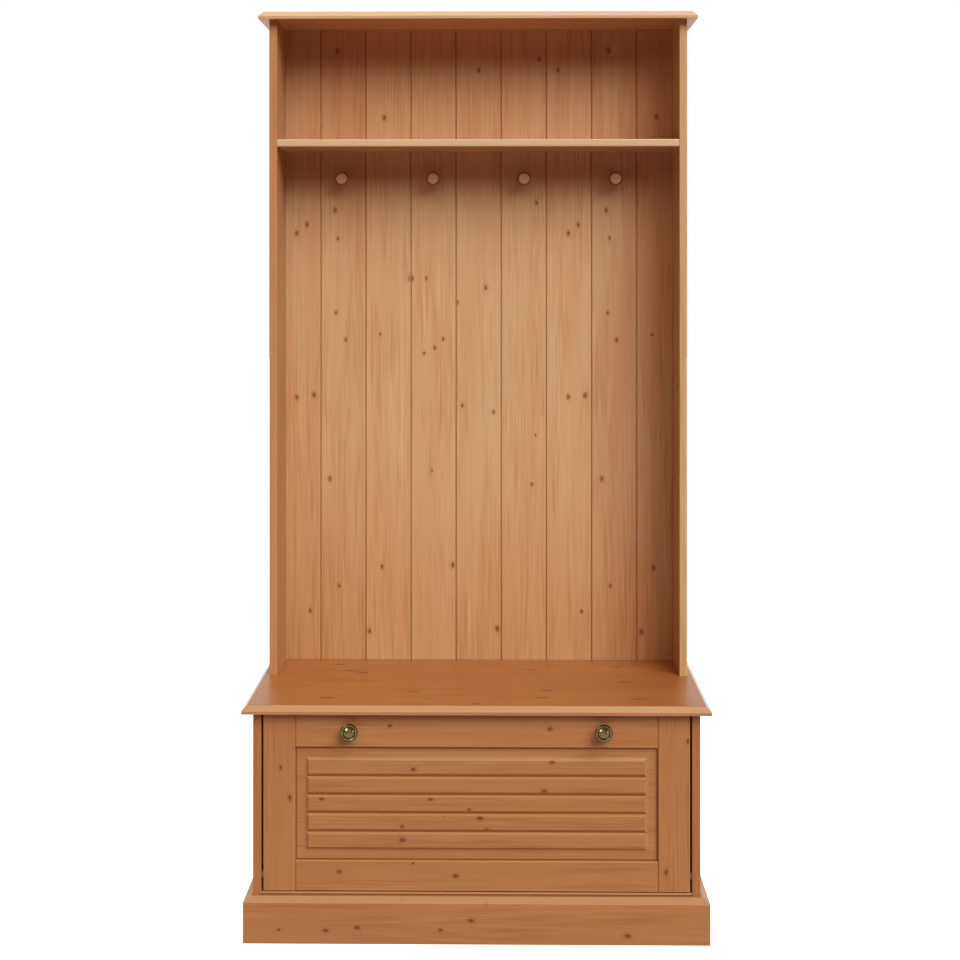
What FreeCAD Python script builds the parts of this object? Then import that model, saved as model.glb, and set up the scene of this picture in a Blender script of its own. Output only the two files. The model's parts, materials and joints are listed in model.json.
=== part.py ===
import FreeCAD, Part
import math
import os

from FreeCAD import Vector

# A pine hall stand: a bench whose front flap tips a shoe rack out, and above it a boarded
# back with coat pegs, a hat shelf and a crown board. Millimetres. +X is to the right as
# seen from the front, +Y to the rear, +Z up. The origin is on the floor, under the middle
# of the overall box, which reaches from the fronts of the knobs to the rear edges.

# Overall sizes
carcass_width = 860.0          # over the outer faces of the sides
carcass_depth = 380.0          # front edges of the base sides to the rear plane
overall_height = 1820.0
seat_height = 455.0
board_thickness = 16.0         # sides, bench top, crown, shelf and bottom
arris = 0.6                    # small flat that breaks the long front edges

# Bench top and crown
top_overhang = 20.0            # beyond the sides and the fronts
top_bevel_run = 10.0
top_bevel_rise = 10.0

# Uprights and hat shelf
upright_depth = 163.0
upright_round = 1.8            # rounding of the front edges
hat_space = 245.0              # crown underside to shelf top
shelf_round = 3.0

# Boarded back: tongued and grooved boards on three rear rails
whole_board_count = 7          # between the two narrower boards at the uprights
edge_board_width = 75.9
matchboard_thickness = 12.0
matchboard_vee = 1.7           # bevel on each long front edge of a joint
matchboard_gap = 1.4           # open joint in front of a tongue
tongue_length = 6.0
tongue_thickness = 4.0
rear_rail_thickness = 16.0
rear_rail_height = 60.0

# Coat pegs, turned, one on every second whole board
peg_drop = 60.3                # shelf underside to the pegs' axes
peg_length = 46.0
peg_foot_radius = 10.5
peg_foot_height = 3.0
peg_neck_radius = 7.5
peg_head_radius = 15.6
peg_head_round = 3.0
peg_face_radius = 11.2         # of the slightly domed end, inside a steep bevel
peg_face_rise = 1.0
peg_face_round = 1.2
peg_neck_share = 0.40          # of the peg's length, from the boards
peg_head_share = 0.76

# Base
base_round = 0.8               # rounding of the sides' front edges
bottom_reveal = 6.4            # bottom board's top above the plinth
bottom_bevel = 2.6             # on the bottom board's front edge
bottom_nose = 3.2              # height of that edge, above a quirk over the plinth
quirk_depth = 3.0
base_back_thickness = 4.0
rebate_width = 8.0             # in the sides' rear edges, for the back
plinth_height = 87.0
plinth_thickness = 17.0
plinth_bevel_run = 14.0
plinth_bevel_rise = 9.0

# Frame of the flap
flap_gap = 4.0                 # above the flap and at its ends
flap_foot_gap = 2.4
flap_thickness = 20.0
stile_width = 61.5
top_rail_width = 64.0
bottom_rail_width = 57.8
frame_arris = 2.0              # flat on the inner edges of the frame and at its joints
groove_depth = 10.0            # in the inner edges of the frame, for the panel
tenon_length = 9.5

# Raised panel of the flap: a grooved field, a cove round it, and a flat margin
panel_recess = 1.0             # field behind the face of the frame
panel_shoulder = 1.0           # step at the edge of the field
panel_cove_run = 12.0
panel_cove_drop = 5.0
panel_border = 25.2            # frame to field
panel_gap = 2.0                # open joint between the frame and the margin
panel_tongue_drop = 3.0        # depth of that joint
panel_tongue_length = 9.0
panel_tongue_thickness = 4.5
slat_count = 5
slat_groove_upper = 7.0        # height of a groove's upper flank
slat_groove_lower = 3.8
slat_groove_depth = 5.0

# Knobs of the flap
knob_inset = 166.5             # flap's end to the knobs' axes
knob_drop = 29.8               # flap's top edge to the knobs' axes
knob_length = 27.0
knob_radius = 17.0
knob_bead_radius = 2.6         # section of the bead round the dome
knob_bead_back = 50.0          # degrees that the bead's section goes round to the rear
knob_dome_rise = 7.0
knob_foot_radius = 9.0
knob_foot_height = 2.5
knob_neck_radius = 6.5

# Pivot of the flap
tip_angle = 40.0               # degrees from closed to open
pivot_rise = 28.0              # flap's bottom edge to the axis
pivot_pin_radius = 4.0
pivot_pin_bite = 30.0          # depth of the pin in the stile
pivot_skin = 6.0               # wood left outside the hole in the base side
bush_radius = 6.5
bush_flange_radius = 9.0

# Shoe rack behind the flap
cheek_thickness = 12.0
cheek_inset = 4.0              # behind the edge of the flap
cheek_floor_gap = 6.0
cheek_back_gap = 70.0
cheek_crest = 22.0             # cheek's front corner above the upper tray
cheek_heel = 46.0              # height of the cheek's rear edge
cheek_round = 10.0
horn_width = 32.0
horn_engagement = 24.0
horn_undercut = 6.0
horn_round = 3.0
tray_thickness = 12.0
tray_fall = 70.2               # front edge to rear edge when closed
tray_front_gap = 4.0
tray_rear_margin = 20.0
tray_lower_rise = 62.0         # front edge of the lower tray above the pivot
tray_headroom = 122.0          # bench underside to the front edge of the upper tray
tray_upper_setback = 46.0      # upper tray ends this much ahead of the lower one
lip_thickness = 12.0
lip_height = 30.0

# Stops and catch
stop_standoff = 4.0            # behind the flap
stop_length = 26.0
stop_height = 45.0
stop_width = 18.0
catch_width = 46.0
catch_height = 14.0
catch_depth = 17.0
magnet_width = 30.0
magnet_height = 8.0
magnet_depth = 10.0
strike_width = 40.0
strike_height = 12.0
strike_thickness = 1.6

# Fasteners
dowel_radius = 3.0
dowel_length = 28.0
dowel_bite = 9.0               # depth in the face that a dowel joint meets
dowel_inset = 35.0             # from the edges of the joint
cheek_dowel_shares = (0.30, 0.80)
tray_dowel_shares = (0.22, 0.78)
peg_screw_radius = 2.4
peg_screw_head_radius = 4.5
peg_screw_head_height = 3.0
peg_screw_sink = 4.0           # head's seat below the rear face of the rail
peg_screw_bite = 24.0
knob_screw_radius = 2.0
knob_screw_head_radius = 4.2
knob_screw_head_height = 2.4
knob_screw_bite = 12.0

# Clearances
running_clearance = 0.05       # radial, pivot pin in its bush
fit_clearance = 0.05           # radial, pressed and screwed pieces
dowel_clearance = 0.1
dowel_end_gap = 1.0
joint_clearance = 0.2          # tongues, tenons and panel in their grooves
side_play = 0.5                # flap's edge to the bush
stop_clearance = 0.3
overrun = 5.0                  # cuts run this far past a face
same_place = 0.01              # two places closer than this are one

# Directions
RIGHT = Vector(1, 0, 0)
REARWARD = Vector(0, 1, 0)
UP = Vector(0, 0, 1)
ORIGIN = Vector(0, 0, 0)
quarter_turn = 90.0            # degrees

# Places of the carcass
half_width = carcass_width / 2
inner_half = half_width - board_thickness
board_middle = half_width - board_thickness / 2
matchboard_cover = (inner_half - edge_board_width) * 2 / whole_board_count
overall_depth = carcass_depth + max(top_overhang, knob_length)
rear = overall_depth / 2
front = rear - carcass_depth
upright_front = rear - upright_depth
bench_low = seat_height - board_thickness
crown_low = overall_height - board_thickness
shelf_top = crown_low - hat_space
shelf_low = shelf_top - board_thickness
rail_front = rear - rear_rail_thickness
boards_front = rail_front - matchboard_thickness
peg_z = shelf_low - peg_drop
bottom_top = plinth_height + bottom_reveal
bottom_low = bottom_top - board_thickness

# Places of the flap and its pivot
flap_low = bottom_top + flap_foot_gap
flap_high = bench_low - flap_gap
flap_half = inner_half - flap_gap
flap_rear = front + flap_thickness
stile_inner = flap_half - stile_width
opening_low = flap_low + bottom_rail_width
opening_high = flap_high - top_rail_width
field_face = front + panel_recess
cove_crest = field_face + panel_shoulder
margin_face = cove_crest + panel_cove_drop
tongue_face = margin_face + panel_tongue_drop
tongue_back = tongue_face + panel_tongue_thickness
groove_front = tongue_face - joint_clearance
groove_back = tongue_back + joint_clearance
knob_x = flap_half - knob_inset
knob_z = flap_high - knob_drop
pivot_y = front + flap_thickness / 2
pivot_z = flap_low + pivot_rise
bush_depth = board_thickness - pivot_skin

# Places of the shoe rack, its stops and the catch
cheek_outer = flap_half - cheek_inset
cheek_inner = cheek_outer - cheek_thickness
cheek_rear = rear - base_back_thickness - cheek_back_gap
cheek_low = bottom_top + cheek_floor_gap
tray_front = flap_rear + tray_front_gap
tray_rear = cheek_rear - tray_rear_margin
tray_slope = math.atan2(tray_fall, tray_rear - tray_front)
upper_tray_z = bench_low - tray_headroom
cheek_high = upper_tray_z + cheek_crest
lower_tray_z = pivot_z + tray_lower_rise
stop_front = flap_rear + stop_standoff
stop_rear = stop_front + stop_length
stop_low = bench_low - stop_height
catch_front = flap_rear + strike_thickness + stop_clearance


# Basic shapes
def box(x_range, y_range, z_range):
    low = Vector(x_range[0], y_range[0], z_range[0])
    high = Vector(x_range[1], y_range[1], z_range[1])
    size = high - low
    return Part.makeBox(size.x, size.y, size.z, low)


def prism(points, along):
    """Solid made by drawing a closed outline of points along a vector."""
    return Part.Face(Part.makePolygon(points + points[:1])).extrude(along)


def cylinder(radius, start, along):
    return Part.makeCylinder(radius, along.Length, start, along)


def mirrored(shape):
    """The same piece on the left."""
    return shape.mirror(ORIGIN, RIGHT)


def carved(shape, tools):
    """Shape less the tools, as one solid."""
    return shape.cut(tools).Solids[0]


def near(value, target):
    return abs(value - target) < same_place


def edges_along(shape, way, test):
    """Straight edges that run along a direction and whose two ends both pass the test."""
    found = []
    for edge in shape.Edges:
        ends = [vertex.Point for vertex in edge.Vertexes]
        run = ends[-1] - ends[0]
        if run.Length > same_place and near(abs(run.normalize().dot(way)), way.Length):
            if all(test(end) for end in ends):
                found.append(edge)
    return found


def rings(shape, radius):
    """Round edges of a turned piece that have the given radius."""
    return [edge for edge in shape.Edges if near(edge.BoundBox.XLength, radius * 2)]


def level_rectangle(half, y_range, z):
    corners = [
        Vector(-half, y_range[0], z),
        Vector(half, y_range[0], z),
        Vector(half, y_range[1], z),
        Vector(-half, y_range[1], z),
    ]
    return Part.makePolygon(corners + corners[:1])


def bevelled_block(half, y_range, z_range, run, rise):
    """Block whose top is bevelled along the front and both ends, and square at the rear."""
    shoulder = z_range[1] - rise
    lower = box((-half, half), y_range, (z_range[0], shoulder))
    foot = level_rectangle(half, y_range, shoulder)
    crest = level_rectangle(half - run, (y_range[0] + run, y_range[1]), z_range[1])
    return lower.fuse(Part.makeLoft([foot, crest], True, True)).removeSplitter()


def line(start, end):
    return Part.makeLine(Vector(*start), Vector(*end))


def arc(start, middle, end):
    return Part.Arc(Vector(*start), Vector(*middle), Vector(*end)).toShape()


def eased(start, end):
    """Part of a circle between two points of the XY plane, level with X at its end."""
    run = start[0] - end[0]
    rise = start[1] - end[1]
    half_angle = math.atan(rise / run)
    radius = (run ** 2 + rise ** 2) / (rise * 2)
    middle_x = end[0] + radius * math.sin(half_angle)
    middle_y = end[1] + radius * (1 - math.cos(half_angle))
    return arc(start, (middle_x, middle_y), end)


def turned(outline):
    """Piece turned about the Y axis from edges that start and end on that axis."""
    axis_edge = Part.makeLine(outline[-1].Vertexes[-1].Point, outline[0].Vertexes[0].Point)
    half_section = Part.Face(Part.Wire(outline + [axis_edge]))
    return Part.makeSolid(half_section.revolve(ORIGIN, REARWARD))


def headed_screw(seat, length, radius, head_radius, head_height):
    """Screw that points to the front, with the underside of its head at the seat."""
    shank = cylinder(radius, seat, -REARWARD * length)
    head = cylinder(head_radius, seat, REARWARD * head_height)
    return shank.fuse(head).removeSplitter()


# Dowel joints: each is a point on the face that is met, and the way into the other piece
def dowels(joints):
    return Part.makeCompound([
        cylinder(dowel_radius, point - way * dowel_bite, way * dowel_length) for point, way in joints
    ])


def drilled(shape, joints):
    depth = dowel_length + dowel_end_gap * 2
    holes = []
    for point, way in joints:
        start = point - way * (dowel_bite + dowel_end_gap)
        holes.append(cylinder(dowel_radius + dowel_clearance, start, way * depth))
    return carved(shape, holes)


def both_sides(joints):
    """The joints of the right side, and the same joints on the left."""
    left = [(Vector(-point.x, point.y, point.z), Vector(-way.x, way.y, way.z)) for point, way in joints]
    return joints + left


def joint_row(x, y_places, z, way):
    return both_sides([(Vector(x, y, z), way) for y in y_places])


upright_row = (upright_front + dowel_inset, rear - dowel_inset)
crown_joints = joint_row(board_middle, upright_row, crown_low, -UP)
upright_joints = joint_row(board_middle, upright_row, seat_height, UP)
bench_row = (front + dowel_inset, upright_front - dowel_inset)
bench_joints = joint_row(board_middle, bench_row, bench_low, -UP)
shelf_row = (upright_front + dowel_inset, boards_front - dowel_inset)
shelf_joints = joint_row(inner_half, shelf_row, (shelf_low + shelf_top) / 2, -RIGHT)
bottom_row = (pivot_y + dowel_inset, rear - dowel_inset)
bottom_joints = joint_row(inner_half, bottom_row, (bottom_low + bottom_top) / 2, -RIGHT)


# Upper part
def make_crown():
    y_range = (upright_front - top_overhang, rear)
    half = half_width + top_overhang
    board = bevelled_block(half, y_range, (crown_low, overall_height), top_bevel_run, top_bevel_rise)
    return drilled(board, crown_joints)


def make_upright():
    board = box((inner_half, half_width), (upright_front, rear), (seat_height, crown_low))
    front_edges = edges_along(board, UP, lambda end: near(end.y, upright_front))
    board = board.makeFillet(upright_round, front_edges)
    return drilled(board, crown_joints + upright_joints + shelf_joints)


def make_shelf():
    board = box((-inner_half, inner_half), (upright_front, boards_front), (shelf_low, shelf_top))
    front_edges = edges_along(board, RIGHT, lambda end: near(end.y, upright_front))
    return drilled(board.makeFillet(shelf_round, front_edges), shelf_joints)


# Boarded back
def back_board_spans():
    """Left and right face edges of every back board, from left to right."""
    first = edge_board_width - inner_half
    joints = [first + matchboard_cover * place for place in range(whole_board_count + 1)]
    places = [-inner_half] + joints + [inner_half]
    return list(zip(places[:-1], places[1:]))


board_spans = back_board_spans()
peg_places = [Vector((left + right) / 2, boards_front, peg_z) for left, right in board_spans[1:-1:2]]


def peg_screw_holes():
    """Holes through the peg rail and the boards, with seats for the heads in the rail."""
    radius = peg_screw_radius + dowel_clearance
    head_radius = peg_screw_head_radius + dowel_clearance
    holes = []
    for place in peg_places:
        seat = Vector(place.x, rear - peg_screw_sink, place.z)
        holes.append(cylinder(radius, place - REARWARD * overrun, REARWARD * (rear - place.y + overrun)))
        holes.append(cylinder(head_radius, seat, REARWARD * (peg_screw_sink + overrun)))
    return holes


def make_back_board(left, right, grooved, tongued):
    """Board with a groove on its left edge and a tongue on its right, where it has a neighbour."""
    tongue_front = boards_front + (matchboard_thickness - tongue_thickness) / 2
    tongue_rear = tongue_front + tongue_thickness
    groove_near = tongue_front - joint_clearance
    groove_far = tongue_rear + joint_clearance
    groove_end = left + tongue_length + joint_clearance
    tongue_end = right + tongue_length
    vee_y = boards_front + matchboard_vee
    shoulder = right - matchboard_gap
    left_edge = [(left, boards_front)]
    right_edge = [(right, boards_front)]
    if grooved:
        groove_mouth = [(left, groove_far), (groove_end, groove_far)]
        groove_return = [(groove_end, groove_near), (left, groove_near)]
        vee = [(left, vee_y), (left + matchboard_vee, boards_front)]
        left_edge = groove_mouth + groove_return + vee
    if tongued:
        vee = [(shoulder - matchboard_vee, boards_front), (shoulder, vee_y)]
        tongue_near = [(shoulder, tongue_front), (tongue_end, tongue_front)]
        tongue_far = [(tongue_end, tongue_rear), (right, tongue_rear)]
        right_edge = vee + tongue_near + tongue_far
    outline = [(left, rail_front)] + left_edge + right_edge + [(right, rail_front)]
    board = prism([Vector(x, y, seat_height) for x, y in outline], UP * (crown_low - seat_height))
    return carved(board, peg_screw_holes())


def make_rear_rail(low):
    z_range = (low, low + rear_rail_height)
    return carved(box((-inner_half, inner_half), (rail_front, rear), z_range), peg_screw_holes())


def make_peg(place):
    neck_y = -peg_length * peg_neck_share
    head_y = -peg_length * peg_head_share
    face_y = peg_face_rise - peg_length
    outline = [
        line((0, 0), (peg_foot_radius, 0)),
        line((peg_foot_radius, 0), (peg_foot_radius, -peg_foot_height)),
        arc((peg_foot_radius, -peg_foot_height), (peg_neck_radius, neck_y), (peg_head_radius, head_y)),
        line((peg_head_radius, head_y), (peg_face_radius, face_y)),
        eased((peg_face_radius, face_y), (0, -peg_length)),
    ]
    peg = turned(outline)
    peg = peg.makeFillet(peg_head_round, rings(peg, peg_head_radius))
    peg = peg.makeFillet(peg_face_round, rings(peg, peg_face_radius))
    hole_depth = peg_screw_bite + dowel_end_gap
    hole = cylinder(peg_screw_radius + fit_clearance, ORIGIN, -REARWARD * hole_depth)
    return carved(peg, [hole]).translated(place)


def make_peg_screws():
    length = rear - peg_screw_sink - boards_front + peg_screw_bite
    seats = [Vector(place.x, rear - peg_screw_sink, place.z) for place in peg_places]
    sizes = (length, peg_screw_radius, peg_screw_head_radius, peg_screw_head_height)
    return Part.makeCompound([headed_screw(seat, *sizes) for seat in seats])


# Base
def make_bench():
    y_range = (front - top_overhang, rear)
    half = half_width + top_overhang
    board = bevelled_block(half, y_range, (bench_low, seat_height), top_bevel_run, top_bevel_rise)
    return drilled(board, upright_joints + bench_joints)


def make_base_side():
    board = box((inner_half, half_width), (front, rear), (0, bench_low))
    front_edges = edges_along(board, UP, lambda end: near(end.y, front))
    board = board.makeFillet(base_round, front_edges)
    rebate_x = (inner_half - overrun, inner_half + rebate_width)
    rebate_y = (rear - base_back_thickness, rear + overrun)
    rebate = box(rebate_x, rebate_y, (bottom_low, bench_low + overrun))
    socket_start = Vector(inner_half - overrun, pivot_y, pivot_z)
    socket = cylinder(bush_radius + fit_clearance, socket_start, RIGHT * (overrun + bush_depth))
    return drilled(carved(board, [rebate, socket]), bench_joints + bottom_joints)


def make_bottom():
    y_range = (front, rear - base_back_thickness)
    board = box((-inner_half, inner_half), y_range, (bottom_low, bottom_top))
    front_edge = edges_along(board, RIGHT, lambda end: near(end.y, front) and near(end.z, bottom_top))
    quirk_x = (-half_width, half_width)
    quirk = box(quirk_x, (front - overrun, front + quirk_depth), (plinth_height, bottom_top - bottom_nose))
    return drilled(carved(board.makeChamfer(bottom_bevel, front_edge), [quirk]), bottom_joints)


def make_base_back():
    half = inner_half + rebate_width - joint_clearance
    return box((-half, half), (rear - base_back_thickness, rear), (bottom_low, bench_low))


def make_plinth():
    """Front, left and right boards, mitred where they meet."""
    outer_half = half_width + plinth_thickness
    outer_y = (front - plinth_thickness, rear)
    block = bevelled_block(outer_half, outer_y, (0, plinth_height), plinth_bevel_run, plinth_bevel_rise)
    carcass = box((-half_width, half_width), (front, rear + overrun), (-overrun, plinth_height + overrun))
    ring = block.cut(carcass)
    wide = outer_half + overrun
    narrow = half_width - overrun
    mitre_front = front - plinth_thickness - overrun
    mitre_rear = front + overrun
    outline = [(-wide, mitre_front), (wide, mitre_front), (narrow, mitre_rear), (-narrow, mitre_rear)]
    front_zone = prism([Vector(x, y, -overrun) for x, y in outline], UP * (plinth_height + overrun * 2))
    left, right = sorted(ring.cut(front_zone).Solids, key=lambda solid: solid.CenterOfMass.x)
    return ring.common(front_zone).Solids[0], left, right


def make_plinth_rear_rail():
    return box((-inner_half, inner_half), (rail_front, rear), (0, bottom_low))


# Flap: a frame of stiles and rails, grooved for its raised panel
def make_stile():
    groove_end = stile_inner + groove_depth
    outline = [
        (stile_inner + frame_arris, front),
        (flap_half - arris, front),
        (flap_half, front + arris),
        (flap_half, flap_rear),
        (stile_inner, flap_rear),
        (stile_inner, groove_back),
        (groove_end, groove_back),
        (groove_end, groove_front),
        (stile_inner, groove_front),
        (stile_inner, front + frame_arris),
    ]
    stile = prism([Vector(x, y, flap_low) for x, y in outline], UP * (flap_high - flap_low))
    pin_start = Vector(flap_half - pivot_pin_bite, pivot_y, pivot_z)
    pin_hole = cylinder(pivot_pin_radius + fit_clearance, pin_start, RIGHT * (pivot_pin_bite + overrun))
    return drilled(carved(stile, [pin_hole]), cheek_joints)


def make_flap_rail(outer_z, inner_z):
    """Rail between the stiles, with its groove in the inner edge and a stub tenon at each end."""
    inward = math.copysign(1, inner_z - outer_z)
    groove_z = inner_z - inward * groove_depth
    outline = [
        (front, outer_z + inward * arris),
        (front, inner_z - inward * frame_arris),
        (front + frame_arris, inner_z),
        (groove_front, inner_z),
        (groove_front, groove_z),
        (groove_back, groove_z),
        (groove_back, inner_z),
        (flap_rear, inner_z),
        (flap_rear, outer_z),
        (front + arris, outer_z),
    ]
    rail = prism([Vector(-stile_inner, y, z) for y, z in outline], RIGHT * stile_inner * 2)
    end_edges = edges_along(rail, UP, lambda end: near(end.y, front))
    rail = rail.makeChamfer(frame_arris, end_edges)
    tenon_x = (stile_inner, stile_inner + tenon_length)
    tenon = box(tenon_x, (tongue_face, tongue_back), sorted((outer_z, groove_z)))
    return rail.fuse([tenon, mirrored(tenon)]).removeSplitter().Solids[0]


def make_flap_rail_top():
    rail = make_flap_rail(flap_high, opening_high)
    radius = knob_screw_radius + dowel_clearance
    through = REARWARD * (flap_thickness + overrun * 2)
    holes = [cylinder(radius, place - REARWARD * overrun, through) for place in knob_places]
    return carved(rail, holes)


def panel_section(low, high):
    """Section of the panel across an opening whose two edges are given along X."""
    middle = (low + high) / 2

    def half(edge, inward):
        tip = edge - inward * panel_tongue_length
        margin = edge + inward * panel_gap
        field = edge + inward * panel_border
        cove = field - inward * panel_cove_run
        return [
            line((middle, tongue_back), (tip, tongue_back)),
            line((tip, tongue_back), (tip, tongue_face)),
            line((tip, tongue_face), (margin, tongue_face)),
            line((margin, tongue_face), (margin, margin_face)),
            line((margin, margin_face), (cove, margin_face)),
            eased((field, cove_crest), (cove, margin_face)),
            line((field, cove_crest), (field, field_face)),
            line((field, field_face), (middle, field_face)),
        ]

    edges = half(low, 1) + half(high, -1)
    return Part.Face(Part.Wire(Part.__sortEdges__(edges)))


def make_panel():
    """Panel with a raised field: what its two sections have in common when each is drawn out."""
    plate_half = stile_inner + panel_tongue_length
    plate_low = opening_low - panel_tongue_length
    plate_height = opening_high + panel_tongue_length - plate_low
    field_z = (opening_low + panel_border, opening_high - panel_border)
    across = panel_section(-stile_inner, stile_inner).extrude(UP * plate_height).translated(UP * plate_low)
    upright = panel_section(opening_low, opening_high).extrude(UP * plate_half * 2)
    upright = upright.rotated(ORIGIN, REARWARD, -quarter_turn).translated(RIGHT * plate_half)
    panel = across.common(upright).removeSplitter().Solids[0]
    grooves = slat_count - 1
    groove_height = slat_groove_upper + slat_groove_lower
    slat_face = (field_z[1] - field_z[0] - groove_height * grooves) / slat_count
    reach = 1 + overrun / slat_groove_depth
    cuts = []
    for place in range(grooves):
        floor = field_z[0] + (slat_face + groove_height) * (place + 1) - slat_groove_upper
        vee = [
            Vector(-plate_half, field_face + slat_groove_depth, floor),
            Vector(-plate_half, field_face - overrun, floor + slat_groove_upper * reach),
            Vector(-plate_half, field_face - overrun, floor - slat_groove_lower * reach),
        ]
        cuts.append(prism(vee, RIGHT * plate_half * 2))
    return carved(panel, cuts)


knob_places = [Vector(x, front, knob_z) for x in (-knob_x, knob_x)]


def make_knob(place):
    bead_middle = knob_radius - knob_bead_radius
    dome_radius = bead_middle - knob_bead_radius
    bead_y = knob_dome_rise - knob_length

    def on_bead(degrees):
        """Point of the bead's section, by its turn from the outside towards the rear."""
        turn = math.radians(degrees)
        return bead_middle + knob_bead_radius * math.cos(turn), bead_y + knob_bead_radius * math.sin(turn)

    bead_start = on_bead(knob_bead_back)
    neck_y = (bead_start[1] - knob_foot_height) / 2
    outline = [
        line((0, 0), (knob_foot_radius, 0)),
        line((knob_foot_radius, 0), (knob_foot_radius, -knob_foot_height)),
        arc((knob_foot_radius, -knob_foot_height), (knob_neck_radius, neck_y), bead_start),
        arc(bead_start, on_bead(0), (dome_radius, bead_y)),
        eased((dome_radius, bead_y), (0, -knob_length)),
    ]
    hole_depth = knob_screw_bite + dowel_end_gap
    hole = cylinder(knob_screw_radius + fit_clearance, ORIGIN, -REARWARD * hole_depth)
    return carved(turned(outline), [hole]).translated(place)


def make_knob_screws():
    length = flap_thickness + knob_screw_bite
    sizes = (length, knob_screw_radius, knob_screw_head_radius, knob_screw_head_height)
    seats = [place + REARWARD * flap_thickness for place in knob_places]
    return Part.makeCompound([headed_screw(seat, *sizes) for seat in seats])


# Pivot
def make_pivot_pins():
    start = Vector(flap_half - pivot_pin_bite, pivot_y, pivot_z)
    length = pivot_pin_bite + flap_gap + bush_depth - dowel_end_gap
    pin = cylinder(pivot_pin_radius, start, RIGHT * length)
    return Part.makeCompound([pin, mirrored(pin)])


def make_pivot_bushes():
    centre = Vector(inner_half, pivot_y, pivot_z)
    flange_width = flap_gap - side_play
    sleeve = cylinder(bush_radius, centre, RIGHT * bush_depth)
    flange = cylinder(bush_flange_radius, centre, -RIGHT * flange_width)
    bore_start = centre - RIGHT * (flange_width + overrun)
    bore = cylinder(pivot_pin_radius + running_clearance, bore_start, RIGHT * (carcass_width / 2))
    bush = carved(sleeve.fuse(flange), [bore])
    return Part.makeCompound([bush, mirrored(bush)])


# Shoe rack, drawn closed
def tipped_back(y, z):
    """Closed place of a point of the shoe rack that is given in the open position."""
    turn = math.radians(tip_angle)
    back = y - pivot_y
    up = z - pivot_z
    closed_y = pivot_y + back * math.cos(turn) + up * math.sin(turn)
    closed_z = pivot_z + up * math.cos(turn) - back * math.sin(turn)
    return closed_y, closed_z


def down_slope(front_z, along, above):
    """Point on a tray: along its slope from the front edge, and above its upper face."""
    y = tray_front + along * math.cos(tray_slope) + above * math.sin(tray_slope)
    z = front_z - along * math.sin(tray_slope) + above * math.cos(tray_slope)
    return y, z


def sloped_slab(front_z, along_range, above_range):
    corners = [(0, 0), (1, 0), (1, 1), (0, 1)]
    outline = [down_slope(front_z, along_range[i], above_range[j]) for i, j in corners]
    return prism([Vector(-cheek_inner, y, z) for y, z in outline], RIGHT * cheek_inner * 2)


def tray_joints(front_z, length):
    places = [down_slope(front_z, length * share, -tray_thickness / 2) for share in tray_dowel_shares]
    return both_sides([(Vector(cheek_inner, y, z), -RIGHT) for y, z in places])


lower_tray = (lower_tray_z, (tray_rear - tray_front) / math.cos(tray_slope))
upper_tray = (upper_tray_z, lower_tray[1] - tray_upper_setback)
shoe_tray_joints = tray_joints(*lower_tray) + tray_joints(*upper_tray)
cheek_middle = cheek_inner + cheek_thickness / 2
cheek_heights = [cheek_low + (cheek_high - cheek_low) * share for share in cheek_dowel_shares]
cheek_joints = both_sides([(Vector(cheek_middle, flap_rear, z), REARWARD) for z in cheek_heights])


def make_cheek():
    """End board of the shoe rack. Its horn meets the stop when the flap is open."""
    horn_front = stop_rear + stop_clearance
    horn_rear = horn_front + horn_width
    horn_top = stop_low + horn_engagement
    horn_root = tipped_back(horn_front, stop_low - horn_undercut)
    horn_tip = tipped_back(horn_front, horn_top)
    horn_back = tipped_back(horn_rear, horn_top)
    heel = (cheek_rear, cheek_low + cheek_heel)
    toe = (cheek_rear, cheek_low)
    outline = [(flap_rear, cheek_low), (flap_rear, cheek_high), horn_root, horn_tip, horn_back, heel, toe]
    cheek = prism([Vector(cheek_inner, y, z) for y, z in outline], RIGHT * cheek_thickness)

    def at(*corners):
        def is_corner(end):
            return any(near(end.y, y) and near(end.z, z) for y, z in corners)

        return edges_along(cheek, RIGHT, is_corner)

    cheek = cheek.makeFillet(cheek_round, at(horn_back, heel, toe))
    cheek = cheek.makeFillet(horn_round, at(horn_tip))
    return drilled(cheek, cheek_joints + shoe_tray_joints)


def make_tray(front_z, length):
    return drilled(sloped_slab(front_z, (0, length), (-tray_thickness, 0)), tray_joints(front_z, length))


def make_lip(front_z, length):
    return sloped_slab(front_z, (length - lip_thickness, length), (0, lip_height))


# Stops and catch
def make_stops():
    stop = box((inner_half - stop_width, inner_half), (stop_front, stop_rear), (stop_low, bench_low))
    return Part.makeCompound([stop, mirrored(stop)])


def make_catch():
    """Case under the bench top, and the magnet in its pocket."""
    case_y = (catch_front, catch_front + catch_depth)
    case = box((-catch_width / 2, catch_width / 2), case_y, (bench_low - catch_height, bench_low))
    magnet_low = bench_low - (catch_height + magnet_height) / 2
    magnet_z = (magnet_low, magnet_low + magnet_height)
    magnet_y = (catch_front, catch_front + magnet_depth)
    magnet = box((-magnet_width / 2, magnet_width / 2), magnet_y, magnet_z)
    return carved(case, [magnet]), magnet


def make_strike():
    high = flap_high - arris
    half = strike_width / 2
    return box((-half, half), (flap_rear, flap_rear + strike_thickness), (high - strike_height, high))


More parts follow.
